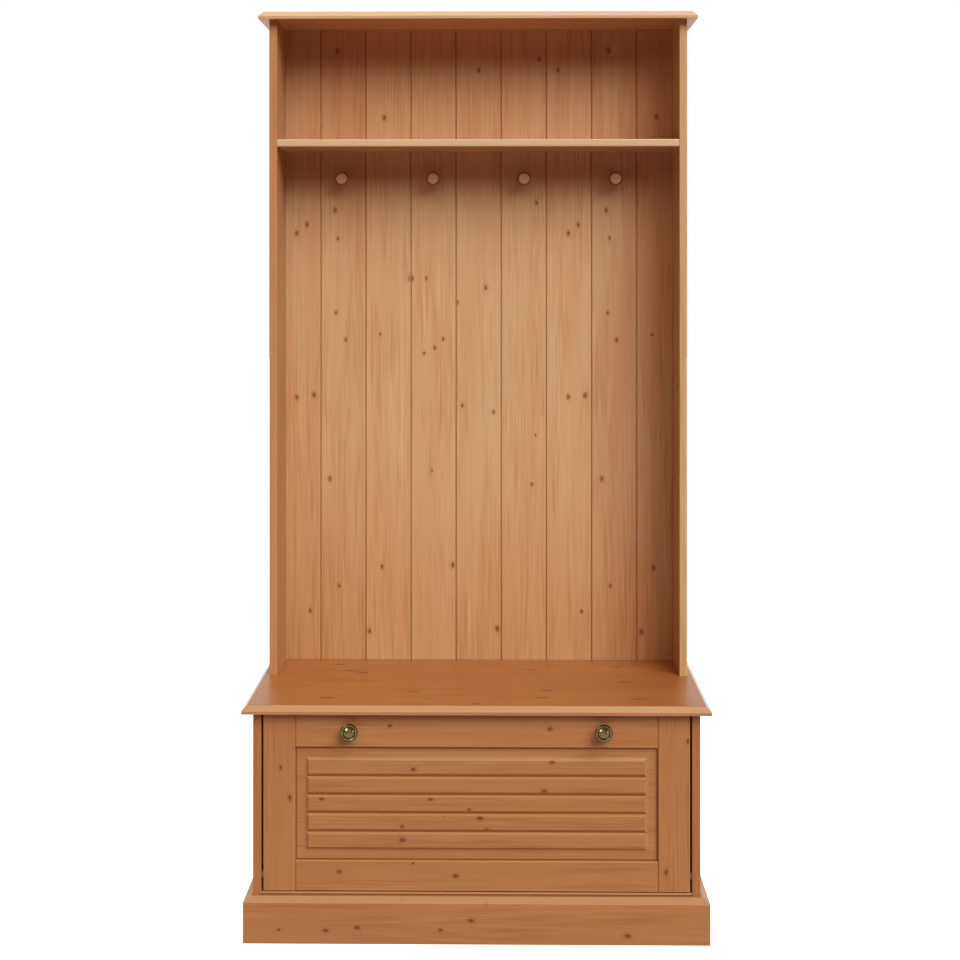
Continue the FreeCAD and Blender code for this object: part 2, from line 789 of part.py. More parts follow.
# All pieces by name
parts = {
    "crown_board": make_crown(),
    "hat_shelf": make_shelf(),
    "back_rail_top": make_rear_rail(crown_low - rear_rail_height),
    "back_rail_peg": make_rear_rail(peg_z - rear_rail_height / 2),
    "back_rail_bottom": make_rear_rail(seat_height),
    "coat_peg_screws": make_peg_screws(),
    "bench_top": make_bench(),
    "bottom_board": make_bottom(),
    "base_back": make_base_back(),
    "plinth_rear_rail": make_plinth_rear_rail(),
    "flap_stops": make_stops(),
    "pivot_bushes": make_pivot_bushes(),
    "pivot_pins": make_pivot_pins(),
    "flap_rail_top": make_flap_rail_top(),
    "flap_rail_bottom": make_flap_rail(flap_low, opening_low),
    "flap_panel": make_panel(),
    "flap_knob_screws": make_knob_screws(),
    "shoe_tray_lower": make_tray(*lower_tray),
    "shoe_tray_upper": make_tray(*upper_tray),
    "tray_lip_lower": make_lip(*lower_tray),
    "tray_lip_upper": make_lip(*upper_tray),
    "strike_plate": make_strike(),
    "crown_dowels": dowels(crown_joints),
    "shelf_dowels": dowels(shelf_joints),
    "upright_dowels": dowels(upright_joints),
    "bench_dowels": dowels(bench_joints),
    "bottom_dowels": dowels(bottom_joints),
    "cheek_dowels": dowels(cheek_joints),
    "tray_dowels": dowels(shoe_tray_joints),
}
parts["plinth_front"], parts["plinth_left"], parts["plinth_right"] = make_plinth()
parts["catch_case"], parts["catch_magnet"] = make_catch()
parts["flap_knob_left"], parts["flap_knob_right"] = [make_knob(place) for place in knob_places]
pairs = {
    "upper_side": make_upright(),
    "base_side": make_base_side(),
    "flap_stile": make_stile(),
    "shoe_cheek": make_cheek(),
}
for name, right_piece in pairs.items():
    parts[name + "_left"] = mirrored(right_piece)
    parts[name + "_right"] = right_piece
for number, (left, right) in enumerate(board_spans, 1):
    parts[f"back_board_{number}"] = make_back_board(left, right, number > 1, number < len(board_spans))
for number, place in enumerate(peg_places, 1):
    parts[f"coat_peg_{number}"] = make_peg(place)

os.makedirs("parts", exist_ok=True)
for name, shape in parts.items():
    shape.exportStep(f"parts/{name}.step")
whole = Part.makeCompound(list(parts.values()))
extent = whole.BoundBox
print(f"{len(parts)} nodes, {len(whole.Solids)} solids, all valid: {whole.isValid()}")
print(f"width {extent.XLength:.1f}, depth {extent.YLength:.1f}, height {extent.ZLength:.1f} mm")
print(f"middle of the depth at {extent.Center.y:.3f}, floor at {extent.ZMin:.3f} mm")
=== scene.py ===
# %% [markdown]
# # A pine hall stand, dressed for its picture
# The stand arrives as solids that a joiner could saw: boards, rails, a tilting flap with a
# shoe rack, and its hardware. This lesson leaves every shape where it is and gives each
# piece what the saw leaves out: soft arrises, grain, knots, lacquer and aged brass.

# %% Load the solids
import json
import math
import random

import bpy
from mathutils import Euler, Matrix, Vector

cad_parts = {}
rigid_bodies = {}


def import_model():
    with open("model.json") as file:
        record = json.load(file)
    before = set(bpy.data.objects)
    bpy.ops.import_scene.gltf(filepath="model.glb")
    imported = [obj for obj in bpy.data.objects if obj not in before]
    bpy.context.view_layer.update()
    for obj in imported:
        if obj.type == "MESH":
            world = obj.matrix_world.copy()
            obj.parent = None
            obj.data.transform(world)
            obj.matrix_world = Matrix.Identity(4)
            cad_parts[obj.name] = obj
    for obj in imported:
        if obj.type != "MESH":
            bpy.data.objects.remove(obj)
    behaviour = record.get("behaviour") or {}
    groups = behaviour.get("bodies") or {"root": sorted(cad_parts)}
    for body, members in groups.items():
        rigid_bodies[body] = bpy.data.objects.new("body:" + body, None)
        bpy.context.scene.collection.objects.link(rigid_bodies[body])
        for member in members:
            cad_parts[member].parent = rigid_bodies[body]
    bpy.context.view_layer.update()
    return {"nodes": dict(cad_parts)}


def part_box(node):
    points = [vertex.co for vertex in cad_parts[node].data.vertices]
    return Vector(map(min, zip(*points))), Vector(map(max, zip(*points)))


for leftover in list(bpy.data.objects):
    bpy.data.objects.remove(leftover)
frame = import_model()
nodes = frame["nodes"]
MM = 0.001

# %% [markdown]
# ## Where the camera stands
# The picture was taken from about three metres, a little right of the middle, with the
# camera level so that the uprights stay parallel. A level camera at chest height would cut
# the foot off, so the lens is shifted down instead of tilted. The distance, height and
# shift were found from the corners of the stand.

# %% The camera
SENSOR_MM = 36.0
LENS_MM = 60.0
LENS_SHIFT = -0.2187
EYE = (0.0429, -3.2504, 1.2894)
YAW = 0.0117

scene = bpy.context.scene
camera_data = bpy.data.cameras.new("front_view")
camera_data.sensor_width = SENSOR_MM
camera_data.lens = LENS_MM
camera_data.shift_y = LENS_SHIFT
camera = bpy.data.objects.new("front_view", camera_data)
camera.location = EYE
camera.rotation_euler = (math.pi / 2, 0.0, YAW)
scene.collection.objects.link(camera)
scene.camera = camera
scene.view_settings.view_transform = "Standard"
print("camera", EYE, "lens", LENS_MM, "mm")

# %% [markdown]
# ## Helpers for every material
# A material is a small graph. One function adds a node, sets its properties and fills its
# sockets, with a value or with a link from another node, so a graph reads from top to
# bottom. Colours are written as they look on a screen, and Blender counts light, so a
# second function turns them linear. Patterns have real sizes, so a third function gives
# the place on a piece in millimetres.


# %% Node and colour helpers
def add(tree, kind, sockets=None, **settings):
    """Add a node. Sockets are filled by name or number, with a value or a link."""
    node = tree.nodes.new(kind)
    for name, value in settings.items():
        setattr(node, name, value)
    for socket, value in (sockets or {}).items():
        if isinstance(value, bpy.types.NodeSocket):
            tree.links.new(value, node.inputs[socket])
        else:
            node.inputs[socket].default_value = value
    return node


def linear(hex_colour):
    """Linear colour with alpha from an sRGB hex value."""
    levels = [int(hex_colour[place:place + 2], 16) / 255 for place in (0, 2, 4)]
    curve = [v / 12.92 if v <= 0.04045 else ((v + 0.055) / 1.055) ** 2.4 for v in levels]
    return (*curve, 1.0)


def blank_material(name):
    """Material with an empty graph."""
    material = bpy.data.materials.new(name)
    material.use_nodes = True
    material.node_tree.nodes.clear()
    return material, material.node_tree


def place_in_mm(tree):
    """Place on a piece at rest, in millimetres of the shared frame."""
    spot = add(tree, "ShaderNodeTexCoord").outputs["Object"]
    return add(
        tree, "ShaderNodeVectorMath", {0: spot, "Scale": 1 / MM}, operation="SCALE"
    ).outputs[0]


print("pine reads as", [round(v, 3) for v in linear("C5976E")[:3]], "in linear light")

# %% [markdown]
# ## A white studio
# Behind the stand is a white wall, lit by itself, and in front of it a dim room. So the
# world is white to the camera. As a light it is dim in front and brighter behind. What
# shines on the stand mirrors a white wall behind, a dim room in front and a dark ceiling:
# that is what turned brass needs to look like brass.

# %% World
FRONT_LEVEL = 0.005
BEHIND_LEVEL = 0.60
ROOM_MIRRORED = 0.04
CEILING_MIRRORED = 0.05
# Where the wall and the ceiling begin and are complete, along a direction of length 1
WALL_RANGE = {"From Min": -0.30, "From Max": 0.45}
CEILING_RANGE = {"From Min": 0.35, "From Max": 0.65}


def mirrored(tree, path):
    """1 for a ray that comes by way of gloss or glass."""
    return add(
        tree,
        "ShaderNodeMath",
        {0: path["Is Glossy Ray"], 1: path["Is Transmission Ray"]},
        operation="MAXIMUM",
    ).outputs[0]


world = bpy.data.worlds.new("white_studio")
scene.world = world
world.use_nodes = True
tree = world.node_tree
tree.nodes.clear()
way = add(tree, "ShaderNodeTexCoord").outputs["Generated"]
way_parts = add(tree, "ShaderNodeSeparateXYZ", {0: way}).outputs
behind = add(
    tree,
    "ShaderNodeMapRange",
    {"Value": way_parts["Y"], **WALL_RANGE},
    interpolation_type="SMOOTHSTEP",
).outputs["Result"]
overhead = add(
    tree,
    "ShaderNodeMapRange",
    {"Value": way_parts["Z"], **CEILING_RANGE},
    interpolation_type="SMOOTHSTEP",
).outputs["Result"]
level = add(tree, "ShaderNodeMix", {0: behind, 2: FRONT_LEVEL, 3: BEHIND_LEVEL}).outputs[0]
wall = add(tree, "ShaderNodeMix", {0: behind, 2: ROOM_MIRRORED, 3: 1.0}).outputs[0]
room = add(tree, "ShaderNodeMix", {0: overhead, 2: wall, 3: CEILING_MIRRORED}).outputs[0]
path = add(tree, "ShaderNodeLightPath").outputs
shiny = mirrored(tree, path)
lighting = add(tree, "ShaderNodeMix", {0: shiny, 2: level, 3: room}).outputs[0]
seen = path["Is Camera Ray"]
strength = add(tree, "ShaderNodeMix", {0: seen, 2: lighting, 3: 1.0}).outputs[0]
sky = add(tree, "ShaderNodeBackground", {"Color": linear("FFFFFF"), "Strength": strength})
add(tree, "ShaderNodeOutputWorld", {"Surface": sky.outputs[0]})
print("world level", FRONT_LEVEL, "in front,", BEHIND_LEVEL, "behind")

# %% [markdown]
# ## The light on the wood
# The shadows tell the light. They are soft, and as long under the crown as under the shelf,
# and the uprights are as bright at the foot as at the head: so the light came from the
# upper right, from something very large and far away. A sun lamp with a wide disc does
# that, since its light doesn't fall off. Where the right upright keeps it from the boards
# they are dim but not dark, and redder: so a second, warmer sun fills from the front. A
# third comes from the left and lights only the pieces that show a left end or side.

# %% Suns
# Degrees round to the right, degrees up, width of the disc in degrees, strength, colour
SUNS = {
    "key_light": (37.0, 39.5, 40.0, 3.45, "F1FAFF"),
    "fill_light": (-4.0, 40.5, 46.0, 1.12, "FFE4CE"),
    "end_light": (-100.0, 8.0, 50.0, 2.2, "FFF4E8"),
}
KNOBS = ("flap_knob_left", "flap_knob_right")
LEFT_ENDS = ("crown_board", "upper_side_left", "bench_top", "base_side_left", "plinth_left")
SUN_LINKS = {
    "key_light": (KNOBS, "EXCLUDE"),
    "fill_light": (KNOBS, "EXCLUDE"),
    "end_light": (LEFT_ENDS, "INCLUDE"),
}


def lamp_at(name, kind, place, aim, power):
    """Lamp that faces a point and stays out of the picture itself."""
    data = bpy.data.lights.new(name, kind)
    data.energy = power
    lamp = bpy.data.objects.new(name, data)
    lamp.location = place
    lamp.rotation_euler = (Vector(aim) - Vector(place)).to_track_quat("-Z", "Y").to_euler()
    lamp.visible_camera = False
    scene.collection.objects.link(lamp)
    return lamp


def link_to(lamp, names, state):
    """Let a lamp light only the named pieces, or all but them."""
    pieces = bpy.data.collections.new("linked_to_" + lamp.name)
    for name in names:
        pieces.objects.link(nodes[name])
    for member in pieces.collection_objects:
        member.light_linking.link_state = state
    lamp.light_linking.receiver_collection = pieces


for name, (azimuth, elevation, disc, strength, tint) in SUNS.items():
    turn, rise = math.radians(azimuth), math.radians(elevation)
    towards = (
        math.cos(rise) * math.sin(turn),
        -math.cos(rise) * math.cos(turn),
        math.sin(rise),
    )
    sun = lamp_at(name, "SUN", towards, (0.0, 0.0, 0.0), strength)
    sun.data.angle = math.radians(disc)
    sun.data.color = linear(tint)[:3]
    link_to(sun, *SUN_LINKS[name])
    # So low a sun would glare on the bench when that is seen from the side
    sun.visible_glossy = name != "end_light"
print("suns", list(SUNS))

# %% [markdown]
# ## The light on the brass
# Turned brass shows its surroundings rather than a colour of its own. In a studio these are
# white boxes and cards, and their mirror images draw the knob: a bright spark on the left
# of the dome, a weaker one on the right, a glow on its lower half and a soft line round
# the bead. So the knobs have lamps of their own, and light linking keeps the suns off the
# brass and these lamps off the wood.

# %% Softboxes of the knobs
FLAP_MIDDLE = (0.0, -0.2, 0.41)
# Place and width in metres, power in watts
SOFTBOXES = {
    "left_softbox": ((-2.20, -1.40, 2.40), 1.6, 130.0),
    "right_softbox": ((2.70, -1.10, 1.10), 1.0, 22.0),
    "front_card": ((0.0, -3.00, 2.30), 5.0, 90.0),
}
for name, (place, width, watts) in SOFTBOXES.items():
    softbox = lamp_at(name, "AREA", place, FLAP_MIDDLE, watts)
    softbox.data.size = width
    link_to(softbox, KNOBS, "INCLUDE")

# %% [markdown]
# ## The floor
# A plain pale floor carries the shadow. Seen by the camera or in a mirror it glows a
# little, so that it meets the white world without a line. For the light that bounces up
# from it, it is a warm brown, because the undersides of shelf and crown are dark and red
# in the real light.

# %% Floor
FLOOR_HALF = 20.0
FLOOR_GLOW = 0.82
FLOOR_SEEN = "F4F3F1"
FLOOR_BOUNCE = "86503A"

floor_mesh = bpy.data.meshes.new("floor")
corners = [(-FLOOR_HALF, -FLOOR_HALF), (FLOOR_HALF, -FLOOR_HALF)]
corners += [(FLOOR_HALF, FLOOR_HALF), (-FLOOR_HALF, FLOOR_HALF)]
floor_mesh.from_pydata([(x, y, 0.0) for x, y in corners], [], [range(4)])
floor = bpy.data.objects.new("floor", floor_mesh)
scene.collection.objects.link(floor)
paper, tree = blank_material("matt_white_paper")
path = add(tree, "ShaderNodeLightPath").outputs
seen = add(
    tree,
    "ShaderNodeMath",
    {0: path["Is Camera Ray"], 1: mirrored(tree, path)},
    operation="MAXIMUM",
).outputs[0]
shade = add(
    tree,
    "ShaderNodeMix",
    {0: seen, 6: linear(FLOOR_BOUNCE), 7: linear(FLOOR_SEEN)},
    data_type="RGBA",
).outputs[2]
glow = add(tree, "ShaderNodeMath", {0: seen, 1: FLOOR_GLOW}, operation="MULTIPLY").outputs[0]
matt = add(tree, "ShaderNodeBsdfDiffuse", {"Color": shade})
lit = add(tree, "ShaderNodeEmission", {"Color": linear("FFFFFF"), "Strength": glow})
both = add(tree, "ShaderNodeAddShader", {0: matt.outputs[0], 1: lit.outputs[0]})
add(tree, "ShaderNodeOutputMaterial", {"Surface": both.outputs[0]})
floor_mesh.materials.append(paper)
print("floor", FLOOR_HALF * 2, "m square")

# %% [markdown]
# ## Where the knots are
# Knots are where branches grew, so each goes right through its board, across the grain.
# Their places are read off the real boards: two numbers across the face and the radius,
# in millimetres. Boards that face the front give x and z, level boards give x and y.

# %% Knots of each board
KNOTS = {
    "back_board_1": [
        (-390, 1368, 4.2), (-368, 1387, 4.2), (-390, 1017, 4.2), (-353, 1022, 4.8),
        (-361, 559, 3.6),
    ],
    "back_board_2": [
        (-303, 1760, 4.4), (-308, 1418, 4.2), (-302, 1357, 3.2), (-306, 1198, 3.0),
        (-285, 1140, 3.5), (-319, 842, 4.2), (-299, 613, 3.5),
    ],
    "back_board_3": [
        (-202, 1616, 4.4), (-211, 1152, 3.0), (-207, 654, 3.6), (-234, 516, 3.9),
        (-147, 1271, 4.6),
    ],
    "back_board_4": [
        (-112, 1272, 3.3), (-117, 1111, 2.8), (-94, 1123, 3.6), (-76, 1142, 3.0),
        (-55, 658, 4.6), (-143, 1271, 4.6), (-100, 860, 2.4),
    ],
    "back_board_5": [
        (0, 1717, 4.2), (15, 1252, 4.2), (-35, 999, 3.8), (32, 985, 3.4),
        (40, 522, 4.8), (-46, 1220, 3.5),
    ],
    "back_board_6": [(130, 1741, 3.6), (124, 1434, 3.8), (114, 831, 3.3), (122, 936, 2.2)],
    "back_board_7": [
        (170, 1717, 3.5), (192, 1368, 4.2), (213, 1386, 4.2), (192, 1018, 4.4),
        (228, 1021, 4.8), (220, 559, 3.7),
    ],
    "back_board_8": [
        (278, 1759, 4.4), (273, 1417, 4.2), (280, 1358, 3.2), (276, 1198, 3.0),
        (295, 1140, 3.8), (263, 843, 4.5), (282, 614, 3.6),
    ],
    "back_board_9": [(380, 1617, 4.6), (371, 1151, 3.0), (374, 653, 4.2), (348, 516, 4.6)],
    "flap_stile_left": [(-377, 332, 3.2), (-359, 274, 4.0)],
    "flap_stile_right": [(364, 133, 4.0), (406, 385, 3.4)],
    "flap_rail_top": [(-166, 413, 3.2), (141, 408, 4.0)],
    "flap_rail_bottom": [(-264, 132, 3.6), (-40, 125, 4.2), (-122, 149, 2.2)],
    "flap_panel": [
        (-298, 272, 3.4), (-143, 219, 3.0), (-142, 193, 4.4), (-122, 329, 3.6),
        (-88, 272, 3.8), (7, 236, 4.4), (-14, 252, 2.8), (146, 344, 3.6),
        (131, 288, 3.6), (20, 214, 2.8), (-62, 240, 2.0),
    ],
    "plinth_front": [
        (-378, 27, 2.4), (-288, 26, 4.2), (-228, 32, 4.2), (-68, 28, 3.2),
        (-10, 46, 4.2), (289, 18, 4.8), (-142, 82, 3.2), (18, 80, 3.0),
    ],
    "bench_top": [
        (-294, 130, 4.0), (-267, 80, 4.5), (-239, 63, 4.0), (-125, -86, 4.0),
        (-291, -132, 4.2), (-90, -138, 3.0), (-1, -172, 3.6), (108, 90, 4.0),
        (290, 113, 3.4), (298, -9, 4.4), (140, -74, 3.8), (127, -127, 4.0),
        (314, -135, 4.0),
    ],
    "hat_shelf": [(-224, 46, 3.4), (-66, 46, 3.0), (160, 110, 4.0)],
}
print(sum(len(found) for found in KNOTS.values()), "knots on", len(KNOTS), "boards")

# %% [markdown]
# ## How a board lies in its log
# Pine shows year rings: wide pale bands of spring wood, each ending in a thin darker line
# of summer wood. A picture of grain would look the same on every board, and wrong on the
# ends. So each board is cut out of its own log: the distance from the log's pith gives the
# rings, and they run true round every edge. The boards are sawn from the outer part of
# the log, and no log is quite straight, so the pith leans a little against the board.

# %% Boards in their logs
GRAIN_TURNS = {
    "X": (0.0, -math.pi / 2, 0.0),
    "Y": (math.pi / 2, 0.0, 0.0),
    "Z": (0.0, 0.0, 0.0),
}
AXES = {"X": Vector((1, 0, 0)), "Y": Vector((0, 1, 0)), "Z": Vector((0, 0, 1))}
PITH_DEPTHS_MM = (60.0, 150.0)
PITH_SHIFT_MM = 45.0
LEAN_DEGREES = 0.35


def pith_of(name, grain, face, chance):
    """A point on the pith of the log that this board came from, in millimetres."""
    low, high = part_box(name)
    across = AXES[grain].cross(AXES[face])
    depth = chance.uniform(*PITH_DEPTHS_MM)
    shift = chance.uniform(-PITH_SHIFT_MM, PITH_SHIFT_MM)
    return (low + high) / 2 / MM + AXES[face] * depth + across * shift


def place_in_log(tree, place, name, grain, face, chance):
    """Coordinates in the log, in millimetres: its pith is the Z axis."""
    turn = Euler(GRAIN_TURNS[grain])
    pith = pith_of(name, grain, face, chance)
    lean = [math.radians(chance.uniform(-LEAN_DEGREES, LEAN_DEGREES)) for _ in range(2)]
    sawn = add(
        tree,
        "ShaderNodeMapping",
        {"Vector": place, "Rotation": turn, "Location": -(turn.to_matrix() @ pith)},
    ).outputs[0]
    return add(
        tree, "ShaderNodeMapping", {"Vector": sawn, "Rotation": (*lean, 0.0)}
    ).outputs[0]


print("pith", PITH_DEPTHS_MM, "mm behind the face, lean up to", LEAN_DEGREES, "degrees")

# %% [markdown]
# ## Knots through a board
# A knot is a branch, so on the face it is a small round spot, and on a level board that is
# seen from a low angle a short dash. Each becomes a stretched ball of coordinates: the
# distance in it is 1 at the knot's edge. Seen close, a knot isn't round, so the place is
# first pushed about by noise. Boards without a list get a few knots by chance.

# %% Knot distances
FAR = 10000.0
# Length against width, by the side that faces out: dashes show on level boards
KNOT_STRETCH = {"X": 1.5, "Y": 1.5, "Z": 3.2}
BOARD_PER_KNOT_MM = 330.0
KNOT_RADII_MM = (2.6, 4.4)
KNOT_WOBBLE_MM = 3.0
WOBBLE_SIZE_MM = 6.0


def knot_spots(name, flat, chance):
    """Knots of a board: two places across its face and a radius."""
    if name in KNOTS:
        return KNOTS[name]
    low, high = (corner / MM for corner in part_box(name))
    count = int((high - low).length / BOARD_PER_KNOT_MM)
    return [
        (
            *[chance.uniform(low[axis], high[axis]) for axis in flat],
            chance.uniform(*KNOT_RADII_MM),
        )
        for _ in range(count)
    ]


def wobbled(tree, place):
    """The place, pushed about by noise."""
    cloud = add(
        tree,
        "ShaderNodeTexNoise",
        {"Vector": place, "Scale": 1 / WOBBLE_SIZE_MM, "Detail": 2.0},
    ).outputs["Color"]
    push = add(
        tree, "ShaderNodeVectorMath", {0: cloud, 1: (0.5, 0.5, 0.5)}, operation="SUBTRACT"
    ).outputs[0]
    return add(
        tree,
        "ShaderNodeVectorMath",
        {0: push, 1: [KNOT_WOBBLE_MM] * 3, 2: place},
        operation="MULTIPLY_ADD",
    ).outputs[0]


def knot_distance(tree, place, name, grain, face, chance):
    """Distance from the nearest knot, in radii of that knot."""
    wobbly = wobbled(tree, place)
    flat = [number for number, axis in enumerate("XYZ") if axis != face]
    nearest = FAR
    for *spot, radius in knot_spots(name, flat, chance):
        centre = [0.0, 0.0, 0.0]
        spread = [FAR, FAR, FAR]
        for number, value in zip(flat, spot):
            centre[number] = value
            spread[number] = radius * (KNOT_STRETCH[face] if "XYZ"[number] == grain else 1.0)
        ball = add(
            tree,
            "ShaderNodeMapping",
            {"Vector": wobbly, "Location": centre, "Scale": spread},
            vector_type="TEXTURE",
        ).outputs[0]
        far = add(tree, "ShaderNodeVectorMath", {0: ball}, operation="LENGTH").outputs["Value"]
        nearest = add(
            tree, "ShaderNodeMath", {0: nearest, 1: far}, operation="MINIMUM"
        ).outputs[0]
    return nearest


print("knots without a list: one to", BOARD_PER_KNOT_MM, "mm of board")

# %% [markdown]
# ## Tones of the same wood
# The boards of the back are paler than the flap and the plinth, which took more stain. The
# two boards at either side are darker and redder than the rest: painted shade, standing in
# for the shadow of the uprights. The bench is the reddest. The left upright is darker than
# the right: partly a redder tone, partly painted shade for the weaker light on the left.
# Each tone has a spring colour, a summer colour, a redder heart colour, a brown for the
# knots, and a colour for edges, mostly paler: a painted highlight for the sheen on bevels
# and arrises. On the pegs the end grain at the front takes the summer colour, the pale one,
# and the turned sides stay dark: painted shade round the head.

# %% Pine tones
HUES = ("spring", "summer", "heart", "knot", "edge")
TONES = {
    # The edge column, paler than the face in most tones, is a painted highlight for sheen
    "pale": ("C8A278", "B68B60", "C4986E", "824B18", "C8A278"),
    # Darker and redder: painted shade from the uprights on the two boards at either side
    "rosy": ("C19A70", "AE8157", "BC8C62", "824B18", "C19A70"),
    "crown": ("CCA477", "B88C5E", "C9976C", "824B18", "D2AE92"),
    "shelf": ("CCA477", "B88C5E", "C9976C", "824B18", "D2B892"),
    # Dark turned sides and pale end grain at the front: painted shade round the peg's head
    "peg": ("8E5C36", "D0A47A", "8E5C36", "824B18", "8E5C36"),
    # Partly a redder tone, partly painted shade for the weaker light on the left upright
    "amber": ("B98456", "A46F42", "B37B4B", "723E18", "B98457"),
    "honey": ("C8A06C", "B48759", "C09461", "784820", "C8A06C"),
    "deep": ("A77243", "956135", "A36A3D", "642A04", "A87344"),
    "plinth": ("A77243", "956135", "A36A3D", "642A04", "AE825C"),
    "carcass": ("A2683A", "8F582D", "9E6235", "642A04", "A2673A"),
    "bench": ("A46429", "905520", "9D5D2B", "582A0C", "B3895F"),
}
print({tone: [round(v, 2) for v in linear(hues[0])[:3]] for tone, hues in TONES.items()})

# %% [markdown]
# ## Streaks along the grain
# All the small unevenness of wood is long along the grain and narrow across it. One
# function makes such streaks from noise by their width and length in millimetres, for the
# drift of the rings as for the finest fibres.

# %% Streaks
# Noise seldom leaves this part of 0 to 1, so it is stretched from here
NOISE_RANGE = {"From Min": 0.3, "From Max": 0.7}
# Each board draws a seed, and each of its patterns adds a number to be unlike the others
SEEDS = (0.0, 90.0)


def streaks(tree, in_log, width_mm, length_mm, seed, detail=2.0):
    """Noise from 0 to 1 that is drawn out along the grain."""
    sizes = (1 / width_mm, 1 / width_mm, 1 / length_mm)
    drawn = add(
        tree, "ShaderNodeVectorMath", {0: in_log, 1: sizes}, operation="MULTIPLY"
    ).outputs[0]
    return add(
        tree,
        "ShaderNodeTexNoise",
        {"Vector": drawn, "W": seed, "Scale": 1.0, "Detail": detail},
        noise_dimensions="4D",
    ).outputs["Fac"]


print("noise counts from", NOISE_RANGE["From Min"], "to", NOISE_RANGE["From Max"])

# %% [markdown]
# ## Year rings
# A ring begins with pale spring wood, darkens slowly, and ends in a line of summer wood
# that breaks off at once. So the distance from the pith is divided by the ring's width, and
# what is left over goes through a ramp of that form. Slow drift and short ripples keep the
# rings from being circles, they swerve round knots, and dry years leave fainter lines.

# %% Summer wood
RING_MM = 3.6
RING_SEASONS = ((0.42, 0.12), (0.82, 0.9), (0.93, 1.0))
DRIFT_MM = 14.0
DRIFT_STREAK_MM = (60.0, 900.0)
RIPPLE_MM = 1.2
RIPPLE_STREAK_MM = (9.0, 170.0)
KNOT_SWERVE = {"From Min": 0.6, "From Max": 3.2, "To Min": 3.0, "To Max": 0.0}
YEARS_ALIKE_MM = 14.0
YEAR_STRENGTH = {**NOISE_RANGE, "To Min": 0.15, "To Max": 0.55}


def summer_wood(tree, in_log, knot, seed):
    """How much of the dark summer wood there is, from 0 to 1."""
    radial = add(
        tree, "ShaderNodeVectorMath", {0: in_log, 1: (1.0, 1.0, 0.0)}, operation="MULTIPLY"
    ).outputs[0]
    depth = add(tree, "ShaderNodeVectorMath", {0: radial}, operation="LENGTH").outputs["Value"]
    drift = streaks(tree, in_log, *DRIFT_STREAK_MM, seed)
    ripple = streaks(tree, in_log, *RIPPLE_STREAK_MM, seed + 5.0)
    swerve = add(
        tree,
        "ShaderNodeMapRange",
        {"Value": knot, **KNOT_SWERVE},
        interpolation_type="SMOOTHSTEP",
    ).outputs["Result"]
    for unevenness, share in ((drift, DRIFT_MM), (ripple, RIPPLE_MM), (swerve, 1.0)):
        depth = add(
            tree,
            "ShaderNodeMath",
            {0: unevenness, 1: share, 2: depth},
            operation="MULTIPLY_ADD",
        ).outputs[0]
    rings = add(tree, "ShaderNodeMath", {0: depth, 1: RING_MM}, operation="DIVIDE").outputs[0]
    ring = add(tree, "ShaderNodeMath", {0: rings}, operation="FRACT").outputs[0]
    season = add(tree, "ShaderNodeValToRGB", {"Fac": ring})
    stops = season.color_ramp.elements
    stops[0].color = stops[1].color = (0.0, 0.0, 0.0, 1.0)
    for position, darkness in RING_SEASONS:
        stops.new(position).color = (darkness, darkness, darkness, 1.0)
    year = streaks(tree, radial, YEARS_ALIKE_MM, FAR, seed + 23.0, 1.0)
    strong = add(tree, "ShaderNodeMapRange", {"Value": year, **YEAR_STRENGTH}).outputs["Result"]
    return add(
        tree, "ShaderNodeMath", {0: season.outputs[0], 1: strong}, operation="MULTIPLY"
    ).outputs[0]


print("rings about", RING_MM, "mm apart")

# %% [markdown]
# ## The colour of a board
# Sawn, planed and sanded pine gives the eye a warm mottled ground, thin streaks in patches,
# and soft brown knots with a halo. The rings colour the ground, a slow drift of heart
# colour mottles it, and fibres darken and lighten it in patches. Real fibres are a few
# hundredths of a millimetre wide, which no picture shows, so they are drawn about three
# millimetres wide.

# %% Pine: ground, fibres and knots
MOTTLE_STREAK_MM = (40.0, 420.0)
MOTTLE_RANGE = {"From Min": 0.36, "From Max": 0.7}
PATCH_STREAK_MM = (24.0, 230.0)
PATCH_RANGE = {"From Min": 0.40, "From Max": 0.58}
FIBRE_STREAK_MM = (2.8, 120.0)
DARK_FIBRE = (0.82, 0.72, 0.62, 1.0)
LIGHT_FIBRE = (1.12, 1.14, 1.14, 1.0)
KNOT_HALO = {"From Min": 0.9, "From Max": 2.8, "To Min": 0.4, "To Max": 0.0}
KNOT_CORE = {"From Min": 0.2, "From Max": 1.5, "To Min": 1.0, "To Max": 0.0}


def threaded_ground(tree, in_log, summer, fibre, hues, seed):
    """Mottled ground of one board, with fibres in patches."""
    ground = add(
        tree,
        "ShaderNodeMix",
        {0: summer, 6: hues["spring"], 7: hues["summer"]},
        data_type="RGBA",
    ).outputs[2]
    mottle = add(
        tree,
        "ShaderNodeMapRange",
        {"Value": streaks(tree, in_log, *MOTTLE_STREAK_MM, seed + 11.0), **MOTTLE_RANGE},
        interpolation_type="SMOOTHSTEP",
    ).outputs["Result"]
    warm = add(
        tree, "ShaderNodeMix", {0: mottle, 6: ground, 7: hues["heart"]}, data_type="RGBA"
    ).outputs[2]
    patch = add(
        tree,
        "ShaderNodeMapRange",
        {"Value": streaks(tree, in_log, *PATCH_STREAK_MM, seed + 31.0), **PATCH_RANGE},
        interpolation_type="SMOOTHSTEP",
    ).outputs["Result"]
    strand = add(tree, "ShaderNodeMapRange", {"Value": fibre, **NOISE_RANGE}).outputs["Result"]
    thread = add(
        tree, "ShaderNodeMix", {0: strand, 6: DARK_FIBRE, 7: LIGHT_FIBRE}, data_type="RGBA"
    ).outputs[2]
    return add(
        tree,
        "ShaderNodeMix",
        {0: patch, 6: warm, 7: thread},
        data_type="RGBA",
        blend_type="MULTIPLY",
    ).outputs[2]


